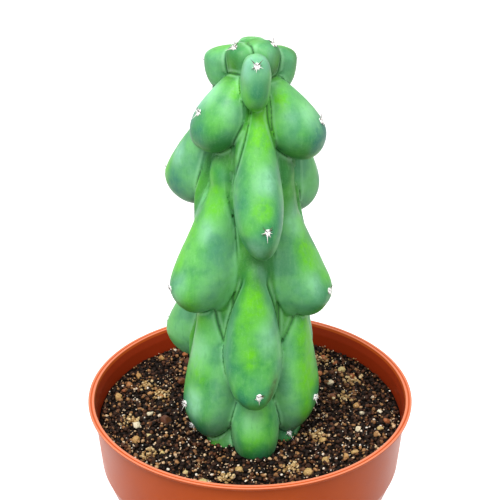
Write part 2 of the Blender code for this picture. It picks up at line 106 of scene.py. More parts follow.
PLANT_ROOM = 0.045  # round the plant's axis, where no drawn stone lies
STONES = (  # x, y, radius and tint of the stones that stand out
    (-0.0395, -0.0095, 0.0033, 0.05), (-0.0045, -0.0485, 0.0024, 0.6),
    (-0.0465, -0.0215, 0.0018, 0.8), (-0.0285, -0.0505, 0.0016, 0.8),
    (-0.0455, 0.048, 0.0019, 0.5), (-0.0335, 0.0505, 0.0019, 0.3),
    (0.051, 0.0035, 0.0019, 0.5), (0.053, -0.0035, 0.0016, 0.95),
    (0.035, 0.0325, 0.0018, 0.3), (0.038, 0.0465, 0.0024, 0.25),
    (0.033, -0.0255, 0.0024, 0.6), (0.0335, -0.042, 0.0022, 0.6),
    (0.0255, -0.0505, 0.0023, 0.6), (0.064, -0.011, 0.002, 0.25),
    (-0.053, -0.013, 0.0022, 0.95), (-0.043, 0.011, 0.0019, 0.4),
    (-0.0615, 0.017, 0.0017, 0.15), (0.043, -0.0385, 0.0016, 0.5),
    (0.04, 0.0105, 0.0022, 0.1), (-0.0395, -0.0355, 0.0016, 0.7))
GRAIN_LOOKS = {  # colours from the darkest grain to the palest, and roughness
    "dark_crumbs": (((10, 6, 4), (28, 17, 12), (64, 40, 27)), 0.75),
    "brown_grit": (((52, 28, 17), (98, 58, 34), (178, 130, 82)), 0.5),
    "pale_grit": (((196, 152, 104), (226, 192, 150), (255, 246, 230)), 0.35),
    "tan_clumps": (((150, 112, 62), (196, 160, 104), (232, 206, 156)), 0.45),
    "pebbles": (((84, 50, 34), (176, 104, 62), (196, 150, 92), (214, 190, 126),
                 (240, 226, 196)), 0.45)}

# Plant: the stem's axis and the ribs round it
AXIS = Vector((0.001, -0.008, 0.0))
RIBS = tuple(range(5, 360, 60))  # degrees from the front
FRONT, RIGHT_FRONT, RIGHT_BACK, BACK, LEFT_BACK, LEFT_FRONT = RIBS
STEM_FOOT = 0.1
STEM_OUTLINE = (
    (0.017, STEM_FOOT), (0.02, 0.119), (0.0205, 0.15), (0.0195, 0.19), (0.0172, 0.23),
    (0.0135, 0.262), (0.0095, 0.285), (0.0055, 0.296), (0.0, 0.299))
STEM_TIP = STEM_OUTLINE[-1][1]
CORE_RADIUS = 0.5  # the stem's middle and its ribs, as shares of the outline
RIB_CENTRE = 0.62
RIB_RADIUS = 0.56
RIB_TIP = 0.286
REACH_SHARE = 0.25
SECTION_POWER = 2.3
NECK_CLOSE = 0.12
LOBE_SIDES = 48
LOBE_STATIONS = 40
DOME_ROOT = 0.004  # height over which a domed tubercle's back comes free
CORNER_ROUND = 0.0035
SKIN_VOXEL = 0.00085
SKIN_REACH = 0.006
CREASE_BLEND = 0.0006
SOFT_BLEND = 0.006
WAIST_SOFT = (0.208, 0.224)  # heights between which the waist tubercles' joints turn sharp
WAIST_MERGE = (0.238, 0.25)  # heights between which they turn soft again
NECK_SOFT = (0.2, 0.207)  # heights between which the low front neck's joints turn soft
SNAP_REACH = 0.0004
FALSE_CREASE = 0.0003
DENT_DEPTH = 0.00035
DENT_SCALE = 75.0

# Light and camera
SKY_LIGHTS = (0.12, 1.0)  # strength of the light from below and from above
SKY_FADE = (-0.3, 0.0)  # heights between which one turns into the other
FLOOR_GLOW = 0.4
LAMPS = (  # name, place, power and size
    ("key", (-0.38, -0.5, 1.2), 6.3, 0.45), ("front", (-0.1, -0.75, 1.1), 3.9, 0.5))
LAMP_AIM = Vector((0.0, 0.0, 0.18))
CAMERA_PLACE = (0.0, -0.483, 0.4346)
CAMERA_PITCH = 25.55  # degrees below the level
CAMERA_LENS = 86.4

# Tones of the skin: paint, and its least strength where the blotches are weak. The olive and deep
# tones are painted shade; the mint tone is partly the skin's pale bloom and partly painted
# highlight
TONES = {
    "olive": ((40, 112, 22), 0.75), "deep": ((20, 74, 18), 0.7), "mint": ((156, 220, 186), 0.65),
    "lime": ((100, 198, 10), 0.4), "teal": ((28, 112, 104), 0.65), "scar": ((72, 74, 34), 0.3)}
SPOT_SHAPE = np.array((1.0, 1.0, 1.7))
SHADE_FOOT = (-0.15, -0.128)  # heights, below zero, between which the painted shade on the foot grows
TOP_HIGHLIGHT_END = (-0.29, -0.28)  # heights, below zero, where the painted highlight on top faces runs out
# Spots of these tones on each tubercle, in millimetres: height above its widest reach, sideways
# shift and size; then tone and strength. Olive and deep spots are painted shade, mint spots are
# partly pale bloom and partly painted highlight
SPOTS = {
    "crown_right": ((2, -3, 5, "mint", 0.5), (-4, 1, 9, "olive", 1), (-5, -2, 7, "deep", 0.5)),
    "crown_left": ((-4, 0, 10, "olive", 1), (-4, 0, 7, "deep", 0.5)),
    "top_left_back": ((2, 2, 6, "mint", 0.6), (-5, -2, 7, "lime", 0.7)),
    "top_right_back": ((-6, -4, 6, "lime", 0.5), (1, -4, 8, "olive", 1)),
    "top_front": ((11, -1, 9, "mint", 1), (1, 0, 5, "teal", 0.65), (-5, 1, 4, "teal", 0.5),
        (-6, -4, 4, "lime", 0.6)),
    "upper_left_front": ((17, 7, 6, "lime", 1), (14, -4, 9, "mint", 1), (9, -8, 8, "mint", 1),
        (1, -9, 8, "teal", 0.9), (1, 0, 7, "teal", 0.75), (-9, -2, 6, "olive", 0.7)),
    "upper_right_front": ((16, -7, 7, "lime", 1), (9, -1, 9, "mint", 0.9), (0, 4, 9, "teal", 1),
        (0, -4, 8, "teal", 0.8), (-9, -1, 6, "lime", 0.6)),
    "mid_left_back": ((12, 9, 7, "mint", 0.7), (4, 6, 8, "lime", 0.8), (-2, 11, 8, "teal", 0.8)),
    "mid_right_back": ((8, -7, 6, "mint", 0.6), (0, -6, 8, "teal", 1), (-8, -6, 5, "lime", 0.6)),
    "mid_front": ((36, 1, 12, "lime", 1), (18, 2, 8, "mint", 0.8), (8, 1, 8, "lime", 1),
        (8, -8, 9, "teal", 0.5), (1, 2, 4, "teal", 0.5), (0, 8, 7, "teal", 0.5),
        (-8, -2, 6, "mint", 0.5), (-11, 3, 4, "olive", 1)),
    "waist_left_front": ((36, 3, 9, "lime", 0.9), (26, 4, 7, "mint", 0.7), (22, -5, 8, "lime", 1),
        (18, 11, 8, "teal", 0.4), (10, -5, 8, "lime", 0.8), (3, 2, 7, "mint", 0.4),
        (-6, 7, 6, "lime", 0.6), (-10, -2, 7, "olive", 0.8)),
    "waist_right_front": ((30, -3, 8, "mint", 0.6), (18, -3, 10, "lime", 1),
        (4, 2, 8, "lime", 0.7), (6, -7, 8, "mint", 0.5), (-8, 5, 7, "olive", 0.8)),
    "low_front": ((55, 0, 10, "deep", 0.7), (41, 0, 9, "lime", 1), (32, -4, 7, "lime", 0.6),
        (26, 6, 8, "mint", 0.5), (18, -1, 6, "lime", 1), (12, -9, 9, "teal", 0.3),
        (6, 2, 7, "teal", 0.4), (-3, -5, 6, "teal", 0.5), (7, 9.5, 2.6, "scar", 0.9),
        (3, 8.6, 2.8, "scar", 1), (-1, 7.2, 2.6, "scar", 0.9)),
    "foot_left_front": ((28, 1, 9, "mint", 0.8), (20, 2, 9, "lime", 0.8), (5, 2, 8, "mint", 0.7),
        (-10, 3, 7, "teal", 0.5), (-14, 6, 8, "deep", 0.8)),
    "foot_right_front": ((30, -3, 10, "lime", 0.8), (12, -4, 12, "lime", 1),
        (-2, -6, 7, "lime", 0.8), (-12, 0, 9, "deep", 0.8)),
    "base_front": ((10, -2, 7, "mint", 0.6), (2, -1, 7, "lime", 0.7), (-6, 2, 6, "teal", 0.4)),
    "base_left": ((0, 0, 14, "olive", 1),),
    "base_right": ((0, 0, 12, "olive", 1),)}

# Areoles
LOW_AREOLE = (-0.0108, -0.0036)  # second areole of the left front foot: height and shift
WOOL_RADIUS = 0.0011
WOOL_HAIRS = 60
HAIR_LENGTHS = (0.0008, 0.0017)
HAIR_RADIUS = 0.00009
SPINE_RADIUS = 0.00024
DARK_SPINE_RADIUS = 0.0003
SPINES = (  # spin from upslope, lean from the skin's normal, length, dark or not
    (180, 60, 0.0042, False), (45, 54, 0.0038, True), (-45, 54, 0.0037, True),
    (105, 72, 0.0025, False), (-105, 72, 0.0025, False), (150, 66, 0.0022, False),
    (-150, 66, 0.0022, False), (15, 45, 0.002, False), (-20, 25, 0.0014, True),
    (78, 76, 0.0025, True), (-122, 74, 0.0025, True))


@dataclass
class Lobe:
    """One tubercle or fold, drawn in the upright plane that runs out from the stem's axis."""
    name: str
    angle: float  # degrees round the stem, 0 to the front, 90 to the right
    height: float  # height of its widest reach
    reach: float  # distance of that point from the stem's axis
    rise: float  # height of the slope above it
    drop: float  # height of the round end below it
    half_width: float
    neck: float  # distance of the slope's top from the stem's axis
    neck_half_width: float = 0.004
    bend: float = 1.0  # over 1 swells the slope, under 1 hollows it
    tail: float = 0.0  # length of plain neck above the slope
    tuck: float = 0.68  # how far in the lowest point sits, as a share of the reach
    belly: float = 0.15  # height of the full width, as a share of the rise
    fullness: float = 0.5  # how early the neck widens, from 0 to 1
    lean: float = 0.0  # sideways shift of the round end
    neck_lean: float = 0.0  # sideways shift of the slope's top
    domed: bool = False  # True where the top is as round as the bottom
    areole: float = 0.0  # height of the areole above the widest reach
    areole_side: float = 0.0  # sideways shift of the areole
    spiny: bool = True

    @property
    def top(self):
        return self.height + self.rise + self.tail

    @property
    def bottom(self):
        return self.height - self.drop

    @property
    def low_reach(self):
        return self.tuck * self.reach

    def height_at(self, share):
        """Height from bottom to top, with REACH_SHARE at the widest reach."""
        if share < REACH_SHARE:
            return self.bottom + self.drop * share / REACH_SHARE
        return self.height + (self.top - self.height) * (share - REACH_SHARE) / (1 - REACH_SHARE)

    def outline(self, z):
        """Distance of the outer face from the stem's axis at height z, with a plain corner."""
        if z >= self.height:
            up = min((z - self.height) / self.rise, 1.0)
            if self.domed:
                return self.neck + (self.reach - self.neck) * blunt_round(up)
            return self.reach - (self.reach - self.neck) * up ** self.bend
        return self.low_reach + (self.reach - self.low_reach) * quarter_round(
            (self.height - z) / self.drop)

    def outer(self, z):
        """Distance of the outer face from the stem's axis at height z, its corner rounded."""
        corner = 0.0 if self.domed else CORNER_ROUND / self.bend ** 2
        span = min(corner, 0.7 * (z - self.bottom))
        heights = [z + span * step for step in (-1.0, -0.6, -0.2, 0.2, 0.6, 1.0)]
        return sum(self.outline(height) for height in heights) / len(heights)

    def inner(self, z):
        """Distance of the hidden face from the stem's axis at height z."""
        root = 0.5 * stem_radius(self.height)
        turn = 1.5 * self.drop
        down = (self.bottom + turn - z) / turn
        hidden = self.low_reach - (self.low_reach - root) * quarter_round(down)
        if self.domed:
            back = 2.0 * self.neck - self.outline(z)
            free = min(1.0, max(0.0, (z - self.height) / DOME_ROOT))
            return hidden + (back - hidden) * smooth(free)
        return hidden

    def half(self, z):
        """Half of the width at height z."""
        widest = self.height + self.belly * self.rise
        if z < widest:
            down = (widest - z) / (widest - self.bottom)
            return self.half_width * (blunt_round(down) if self.domed else quarter_round(down))
        narrow = self.height + self.rise + 0.5 * self.tail
        down = max(0.0, (narrow - z) / (narrow - widest))
        if self.domed:
            swell = blunt_round(1.0 - down)
        else:
            swell = ((1.0 - self.fullness) * smooth(down)
                     + self.fullness * math.sin(down * math.pi / 2))
        return self.neck_half_width + (self.half_width - self.neck_half_width) * swell

    def shift(self, z):
        """Sideways shift of the middle at height z."""
        down = (self.top - z) / (self.top - self.bottom)
        return self.lean * down ** 3 + self.neck_lean * (1.0 - down) ** 2

    def section(self, z, around, closing=1.0):
        """Reach and sideways place of the skin at height z, at angles round the section."""
        power = 2.0 / SECTION_POWER
        middle = 0.5 * (self.outer(z) + self.inner(z))
        depth = 0.5 * (self.outer(z) - self.inner(z)) * closing
        width = self.half(z) * closing
        return (middle + depth * signed_power(np.cos(around), power),
                self.shift(z) + width * signed_power(np.sin(around), power))

    def directions(self):
        """Unit vectors out from the stem and across the lobe."""
        turn = math.radians(self.angle)
        return (Vector((math.sin(turn), -math.cos(turn), 0.0)),
                Vector((math.cos(turn), math.sin(turn), 0.0)))

    def place(self, reach, side, z):
        """World position of a point given in this lobe's own plane."""
        outward, across = self.directions()
        return AXIS + float(reach) * outward + float(side) * across + Vector((0.0, 0.0, z))


def crown_lobe(name, angle, height, reach, areole, areole_side=0.0):
    return Lobe(name, angle, height, reach, 0.005, 0.0115, 0.0061, 0.004, 0.002,
                tuck=0.63, domed=True, areole=areole, areole_side=areole_side)


def fold(name, angle, height, reach, rise, drop, half_width=0.002, neck=0.019):
    """A narrow upright fold of skin in the valley between two ribs."""
    return Lobe(name, angle, height, reach, rise, drop, half_width, neck, 0.0014,
                tuck=0.77, spiny=False)


TUBERCLES = (
    crown_lobe("crown_left", LEFT_FRONT, 0.2962, 0.0112, 0.004, 0.0002),
    crown_lobe("crown_right", RIGHT_FRONT - 5, 0.297, 0.0115, 0.004, 0.0008),
    crown_lobe("crown_back", BACK - 5, 0.2965, 0.011, 0.0),

    Lobe("top_front", FRONT - 1, 0.2888, 0.0268, 0.0128, 0.0105, 0.0061, 0.019, 0.0,
         tuck=0.74, belly=0.12, domed=True, areole=0.0095),
    Lobe("top_right_back", RIGHT_BACK - 3, 0.2915, 0.0198, 0.007, 0.0135, 0.008, 0.006,
         bend=4.0, areole=-0.002),
    Lobe("top_left_back", LEFT_BACK - 3, 0.2915, 0.0215, 0.007, 0.0125, 0.008, 0.006,
         bend=4.0, areole=-0.002),

    Lobe("upper_left_front", LEFT_FRONT + 4, 0.268, 0.0275, 0.0225, 0.0122, 0.012, 0.011,
         bend=1.7, tuck=0.58, lean=-0.0065, neck_lean=0.0015, areole=0.0072, areole_side=-0.004),
    Lobe("upper_right_front", RIGHT_FRONT, 0.265, 0.0316, 0.023, 0.0126, 0.0124, 0.011,
         bend=1.5, tuck=0.66, lean=0.0055, areole=0.0052, areole_side=0.0036),
    Lobe("upper_back", BACK - 2, 0.266, 0.029, 0.022, 0.012, 0.0115, 0.011,
         bend=1.7, tuck=0.61, areole=0.008),

    Lobe("mid_front", FRONT - 2, 0.234, 0.0405, 0.042, 0.0157, 0.0104, 0.017, 0.0028,
         tail=0.008, tuck=0.79, belly=0.14, fullness=0.35, lean=0.0026, neck_lean=0.003,
         areole_side=0.0026),
    Lobe("mid_right_back", RIGHT_BACK, 0.235, 0.033, 0.034, 0.014, 0.012, 0.018,
         bend=1.3, tail=0.014),
    Lobe("mid_left_back", LEFT_BACK, 0.239, 0.0412, 0.034, 0.0135, 0.012, 0.018,
         bend=1.3, tail=0.014),

    Lobe("waist_left_front", LEFT_FRONT, 0.2, 0.0413, 0.04, 0.014, 0.0126, 0.02, 0.005,
         tail=0.014, fullness=0.35, areole=-0.0012, areole_side=-0.0035),
    Lobe("waist_right_front", RIGHT_FRONT, 0.1955, 0.038, 0.04, 0.0135, 0.0128, 0.017, 0.005,
         bend=0.85, tail=0.014, fullness=0.35, tuck=0.66),
    Lobe("waist_back", BACK, 0.199, 0.041, 0.035, 0.014, 0.013, 0.023, 0.0045,
         tail=0.03),

    Lobe("low_front", FRONT - 6, 0.155, 0.04, 0.05, 0.0095, 0.0128, 0.0268, 0.0038,
         tail=0.006, tuck=0.75, belly=0.25, lean=0.0015, neck_lean=0.0018, areole=0.0015,
         areole_side=0.0026),
    Lobe("low_right_back", RIGHT_BACK, 0.158, 0.031, 0.038, 0.012, 0.012, 0.022, 0.005,
         bend=1.2, tail=0.03),
    Lobe("low_left_back", LEFT_BACK, 0.162, 0.043, 0.038, 0.014, 0.012, 0.022, 0.005,
         bend=1.2, tail=0.03),

    Lobe("foot_left_front", LEFT_FRONT, 0.138, 0.035, 0.042, 0.0165, 0.0132, 0.0285, 0.004,
         bend=0.9, tail=0.014, lean=0.0018, areole=0.0012, areole_side=-0.004),
    Lobe("foot_right_front", RIGHT_FRONT, 0.142, 0.032, 0.039, 0.0215, 0.0142, 0.026,
         bend=0.9, tail=0.014, tuck=0.5, lean=-0.0022, areole=-0.0012),
    Lobe("foot_back", BACK, 0.138, 0.035, 0.042, 0.016, 0.012, 0.027, tail=0.014),

    Lobe("base_front", FRONT - 1, 0.127, 0.032, 0.024, 0.018, 0.0108, 0.026, 0.006,
         tuck=0.75, lean=-0.0008, spiny=False),
    Lobe("base_right_back", RIGHT_BACK, 0.124, 0.031, 0.03, 0.016, 0.011, 0.024, 0.006,
         tuck=0.77, areole=0.006),
    Lobe("base_left_back", LEFT_BACK, 0.124, 0.033, 0.03, 0.016, 0.011, 0.024, 0.006,
         tuck=0.73, areole=0.006),
    Lobe("base_left", LEFT_FRONT + 15, 0.117, 0.028, 0.012, 0.014, 0.008, 0.021, 0.005,
         tuck=0.79, spiny=False),
    Lobe("base_right", RIGHT_FRONT - 17, 0.1165, 0.0248, 0.01, 0.012, 0.0056, 0.021,
         tuck=0.85, areole=0.006),
)

FOLDS = (
    fold("fold_upper_left", FRONT - 20, 0.254, 0.0225, 0.034, 0.012, 0.0032, 0.014),
    fold("fold_upper_right", FRONT + 17, 0.254, 0.0222, 0.034, 0.012, 0.003, 0.014),
    fold("fold_side_left", LEFT_FRONT - 29, 0.235, 0.025, 0.022, 0.022),
    fold("fold_side_right", RIGHT_FRONT + 28, 0.232, 0.0205, 0.025, 0.022),
    fold("fold_side_low_left", LEFT_FRONT - 29, 0.165, 0.029, 0.028, 0.03),
    fold("fold_side_low_right", RIGHT_FRONT + 29, 0.165, 0.026, 0.028, 0.03),
    fold("fold_back_right", BACK - 29, 0.22, 0.025, 0.035, 0.025),
    fold("fold_back_left", BACK + 29, 0.22, 0.0255, 0.035, 0.025),
    fold("fold_back_low_right", BACK - 27, 0.16, 0.028, 0.035, 0.03),
    fold("fold_back_low_left", BACK + 27, 0.16, 0.0285, 0.035, 0.03),
)


def smooth(t):
    return t * t * (3 - 2 * t)


def quarter_round(t):
    """Height of a quarter circle, from 1 at t = 0 to 0 at t = 1."""
    return math.sqrt(max(0.0, 1.0 - max(0.0, t) ** 2))


def blunt_round(t):
    """A rounder shoulder than a quarter circle, from 1 at t = 0 to 0 at t = 1."""
    return max(0.0, 1.0 - max(0.0, t) ** 2.5) ** 0.4


def signed_power(value, power):
    return np.sign(value) * np.abs(value) ** power


def ramp(values, low, high):
    """Smooth step from 0 at low to 1 at high, for arrays."""
    share = np.clip((values - low) / (high - low), 0.0, 1.0)
    return share * share * (3 - 2 * share)


def stem_radius(z):
    """Radius of the stem at height z, read along its outline."""
    radii, heights = zip(*STEM_OUTLINE)
    return float(np.interp(z, heights, radii))


def srgb(red, green, blue):
    """Linear colour of an sRGB one given in 0 to 255."""
    def linear(value):
        value /= 255.0
        return value / 12.92 if value <= 0.04045 else ((value + 0.055) / 1.055) ** 2.4
    return (linear(red), linear(green), linear(blue), 1.0)


def link(name, data, material=None):
    """A new object in the scene that shows a mesh, a light or a camera."""
    piece = bpy.data.objects.new(name, data)
    bpy.context.scene.collection.objects.link(piece)
    if material:
        data.materials.append(material)
    return piece


def mesh_from(name, verts, faces=(), edges=()):
    mesh = bpy.data.meshes.new(name)
    mesh.from_pydata([tuple(vert) for vert in verts], list(edges), list(faces))
    mesh.update()
    return mesh


def baked(name, shape):
    """The mesh of a finished bmesh, which is freed."""
    mesh = bpy.data.meshes.new(name)
    shape.to_mesh(mesh)
    shape.free()
    return mesh


def finished(piece, slot, *nodes):
    """Sets a piece on the part: its body and the nodes it stands for. The slot is not used."""
    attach(piece, "root")
    if nodes:
        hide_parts(*nodes)


def apply_modifiers(piece):
    bpy.context.view_layer.update()
    evaluated = piece.evaluated_get(bpy.context.evaluated_depsgraph_get())
    mesh = bpy.data.meshes.new_from_object(evaluated)
    piece.modifiers.clear()
    piece.data = mesh


def read(items, key, width, kind=float):
    """One property of a mesh's items, with a row for each."""
    values = np.empty(width * len(items), dtype=kind)
    items.foreach_get(key, values)
    return values.reshape(-1, width)


def move(mesh, places):
    mesh.vertices.foreach_set("co", places.ravel())
    mesh.update()


def store(mesh, name, values):
    """Keeps one number for each vertex as an attribute that a material can read."""
    layer = mesh.attributes.new(name, "FLOAT", "POINT")
    layer.data.foreach_set("value", np.asarray(values, dtype=np.float32))


class Nodes:
    """Short calls for building the node tree of a new material, or of the world."""

    def __init__(self, name, kind="materials", surface="Principled BSDF"):
        self.owner = getattr(bpy.data, kind).new(name)
        self.owner.use_nodes = True
        self.tree = self.owner.node_tree
        self.surface = self.tree.nodes[surface]

    def feed(self, node, inputs):
        """Joins a node's inputs to other nodes' sockets, or sets them to values."""
        for key, value in inputs.items():
            if isinstance(value, bpy.types.NodeSocket):
                self.tree.links.new(value, node.inputs[key])
            else:
                node.inputs[key].default_value = value

    def add(self, kind, inputs, output, **settings):
        """Output of a new node with these inputs and settings."""
        node = self.tree.nodes.new(kind)
        for key, value in settings.items():
            setattr(node, key, value)
        self.feed(node, inputs)
        return node.outputs[output]

    def attribute(self, name):
        return self.add("ShaderNodeAttribute", {}, "Fac", attribute_name=name)

    def noise(self, scale, detail=3.0, roughness=0.5, stretch=(1.0, 1.0, 1.0)):
        place = self.add("ShaderNodeTexCoord", {}, "Object")
        place = self.add("ShaderNodeMapping", {"Vector": place, "Scale": stretch}, "Vector")
        return self.add("ShaderNodeTexNoise", {"Vector": place, "Scale": scale, "Detail": detail,
                                               "Roughness": roughness}, "Fac")

    def spread(self, value, low, high, to_low=0.0, to_high=1.0, kind="SMOOTHSTEP"):
        """The value stretched from one range to another and held there."""
        return self.add("ShaderNodeMapRange", {
            "Value": value, "From Min": low, "From Max": high, "To Min": to_low,
            "To Max": to_high}, "Result", interpolation_type=kind)

    def math(self, operation, first, second):
        return self.add("ShaderNodeMath", {0: first, 1: second}, "Value", operation=operation)

    def mix(self, share, first, second):
        """One colour over another, by a share."""
        return self.add("ShaderNodeMix", {0: share, 6: first, 7: second}, 2, data_type="RGBA")

    def bump(self, height, distance, strength):
        self.set(Normal=self.add("ShaderNodeBump", {
            "Height": height, "Distance": distance, "Strength": strength}, "Normal"))

    def set(self, **values):
        """Feeds the surface's inputs, named with underscores."""
        self.feed(self.surface, {name.replace("_", " "): values[name] for name in values})


def lobe_surface(lobe):
    """Points and faces of a lobe, as rings round poles at its bottom and its top."""
    outward, across = lobe.directions()
    around = np.linspace(0.0, math.tau, LOBE_SIDES, endpoint=False)
    points = []
    for station in range(LOBE_STATIONS + 1):
        share = 0.5 * (1.0 - math.cos(math.pi * station / LOBE_STATIONS))
        z = lobe.height_at(share)
        closing = quarter_round((share - 1.0 + NECK_CLOSE) / NECK_CLOSE)
        reach, side = lobe.section(z, around, closing)
        ring = np.array(AXIS) + np.outer(reach, outward) + np.outer(side, across)
        ring[:, 2] = z
        points.append(ring[:1] if station in (0, LOBE_STATIONS) else ring)
    return np.vstack(points), ring_faces(LOBE_SIDES, LOBE_STATIONS - 1)


def ring_faces(sides, rings):
    """Faces of a closed form: a first pole, rings of points, and a last pole."""
    faces = []
    last = 1 + sides * rings
    for side in range(sides):
        after = (side + 1) % sides
        faces.append((0, 1 + after, 1 + side))
        for ring in range(rings - 1):
            low, high = 1 + sides * ring, 1 + sides * (ring + 1)
            faces.append((low + side, low + after, high + after, high + side))
        top = last - sides
        faces.append((top + side, top + after, last))
    return faces


def column_surface(tip, radius, centre=0.0, angle=0.0):
    """Points and faces of a round column, its radius and place as shares of the stem's outline."""
    turn = math.radians(angle)
    around = np.linspace(0.0, math.tau, LOBE_SIDES, endpoint=False)
    points = []
    for z in np.linspace(STEM_FOOT, tip, LOBE_STATIONS):
        size = stem_radius(z)
        middle = AXIS + centre * size * Vector((math.sin(turn), -math.cos(turn), 0.0))
        points.append(np.column_stack((middle.x + radius * size * np.cos(around),
                                       middle.y + radius * size * np.sin(around),
                                       np.full(LOBE_SIDES, z))))
    first, last = points[0].mean(axis=0), points[-1].mean(axis=0)
    return np.vstack([[first], *points, [last]]), ring_faces(LOBE_SIDES, LOBE_STATIONS)


def stem_surfaces():
    """The six ribs that overlap round the stem, and its middle."""
    ribs = [column_surface(RIB_TIP, RIB_RADIUS, RIB_CENTRE, angle) for angle in RIBS]
    return ribs + [column_surface(STEM_TIP - 0.001, CORE_RADIUS)]


class Flesh:
    """The plant's forms with their search trees, joined smoothly into one skin."""

    def __init__(self):
        self.lobes = TUBERCLES + FOLDS
        self.surfaces = [lobe_surface(lobe) for lobe in self.lobes] + stem_surfaces()
        self.trees = [BVHTree.FromPolygons([tuple(p) for p in points], faces)
                      for points, faces in self.surfaces]
        stem = np.arange(len(self.surfaces)) >= len(self.lobes)
        waists, sides = self.named("waist"), self.named("fold_side")
        self.soft_waist = self.pairs(waists, stem)
        self.soft_neck = self.pairs(self.named("low_front"), stem)
        self.soft_folds = self.pairs(self.named("fold"), stem) | self.pairs(waists, sides)

    def named(self, start):
        """Which forms are lobes whose name has this start."""
        found = np.zeros(len(self.surfaces), dtype=bool)
        found[:len(self.lobes)] = [lobe.name.startswith(start) for lobe in self.lobes]
        return found

    def pairs(self, some, others):
        """Table of which pairs of forms have one from each of two groups."""
        return some[:, None] & others[None, :] | others[:, None] & some[None, :]

    def softness(self, number, heights):
        """How softly each place's two nearest forms join, from 0 at a crease to 1."""
        first, second = number.T
        low, high = WAIST_SOFT
        waist = ramp(-heights, -high, -low) + ramp(heights, *WAIST_MERGE)
        return np.maximum(self.soft_folds[first, second], np.maximum(
            self.soft_waist[first, second] * waist,
            self.soft_neck[first, second] * ramp(heights, *NECK_SOFT)))

    def measure(self, places):
        """Two nearest forms of each place: their numbers, distances and directions."""
        number = np.full((len(places), 2), -1)
        gap = np.full((len(places), 2), SKIN_REACH)
        way = np.zeros((len(places), 2, 3))
        for index, (tree, (points, _)) in enumerate(zip(self.trees, self.surfaces)):
            low, high = points.min(axis=0) - SKIN_REACH, points.max(axis=0) + SKIN_REACH
            near = np.flatnonzero(((places > low) & (places < high)).all(axis=1))
            for row in near:
                spot = Vector(places[row])
                found, normal, _, away = tree.find_nearest(spot)
                step = spot - found
                if step.dot(normal) < 0.0:
                    away, step = -away, -step
                rank = 0 if away < gap[row, 0] else 1
                if away < gap[row, rank]:
                    if rank == 0:
                        for table in (number, gap, way):
                            table[row, 1] = table[row, 0]
                    number[row, rank], gap[row, rank] = index, away
                    way[row, rank] = step.normalized() if abs(away) > 1e-7 else normal
        return number, gap, way

    def pull(self, places, snap=False):
        """Moves places onto the smoothly joined skin, and may snap the nearest onto its creases."""
        number, gap, way = self.measure(places)
        soft = self.softness(number, places[:, 2])
        blend = CREASE_BLEND + (SOFT_BLEND - CREASE_BLEND) * soft
        closeness = np.clip(1.0 - (gap[:, 1] - gap[:, 0]) / blend, 0.0, 1.0)
        field = gap[:, 0] - 0.25 * blend * closeness ** 2
        share = (0.5 * closeness)[:, None]
        slope = way[:, 0] * (1 - share) + way[:, 1] * share
        size = np.maximum((slope ** 2).sum(axis=1), 0.3)
        moved = places - slope * (field / size)[:, None]
        if snap:
            turn = (way[:, 0] * way[:, 1]).sum(axis=1)
            near = (soft < 0.1) & (gap[:, 1] - gap[:, 0] < SNAP_REACH) & (np.abs(turn) < 0.9)
            rest = 1.0 - turn[near] ** 2
            first = (turn[near] * gap[near, 1] - gap[near, 0]) / rest
            second = (turn[near] * gap[near, 0] - gap[near, 1]) / rest
            moved[near] = (places[near] + first[:, None] * way[near, 0]
                           + second[:, None] * way[near, 1])
        return moved

    def crease_layers(self, places):
        """Signed distance to the nearest crease, how sharp that crease is, and the owner."""
        number, gap, way = self.measure(places)
        side = np.where(number[:, 0] < number[:, 1], 1.0, -1.0) * (gap[:, 1] - gap[:, 0])
        turn = (way[:, 0] * way[:, 1]).sum(axis=1)
        sharp = ramp(-turn, -0.97, -0.6) * ramp(-gap[:, 1], -0.004, -0.0015)
        return number[:, 0], side, sharp * (1.0 - self.softness(number, places[:, 2]))


def joined_skin(flesh):
    """One closed mesh round all the forms, by voxels; make_skin then pulls it onto their skin."""
    verts, faces, start = [], [], 0
    for points, polygons in flesh.surfaces:
        verts.append(points)
        faces += [tuple(start + corner for corner in face) for face in polygons]
        start += len(points)
    skin = link("cactus_skin", mesh_from("cactus_skin", np.vstack(verts), faces))
    remesh = skin.modifiers.new("join", "REMESH")
    remesh.mode = "VOXEL"
    remesh.voxel_size = SKIN_VOXEL
    apply_modifiers(skin)
    return skin


def averaged(values, edges):
    """Mean of each vertex's neighbours."""
    total = np.zeros_like(values)
    count = np.zeros(len(values))
    for one, other in (edges.T, edges.T[::-1]):
        np.add.at(total, one, values[other])
        np.add.at(count, one, 1.0)
    return total / (count[:, None] if values.ndim == 2 else count)


def relax(places, edges, share, times):
    for _ in range(times):
        places = places + share * (averaged(places, edges) - places)
    return places


def make_skin(flesh):
    skin = joined_skin(flesh)
    mesh = skin.data
    edges = read(mesh.edges, "vertices", 2, np.int64)
    places = read(mesh.vertices, "co", 3)
    for _ in range(2):
        places = relax(flesh.pull(places), edges, 0.3, 1)
    places = flesh.pull(places, snap=True)
    move(mesh, places)
    mesh.shade_smooth()
    normals = read(mesh.vertex_normals, "vector", 3)
    colour_layers(mesh, flesh, places, normals, edges)
    dents = np.array([noise.noise(Vector(place) * DENT_SCALE) for place in places])
    move(mesh, places + (DENT_DEPTH * dents)[:, None] * normals)
    return skin


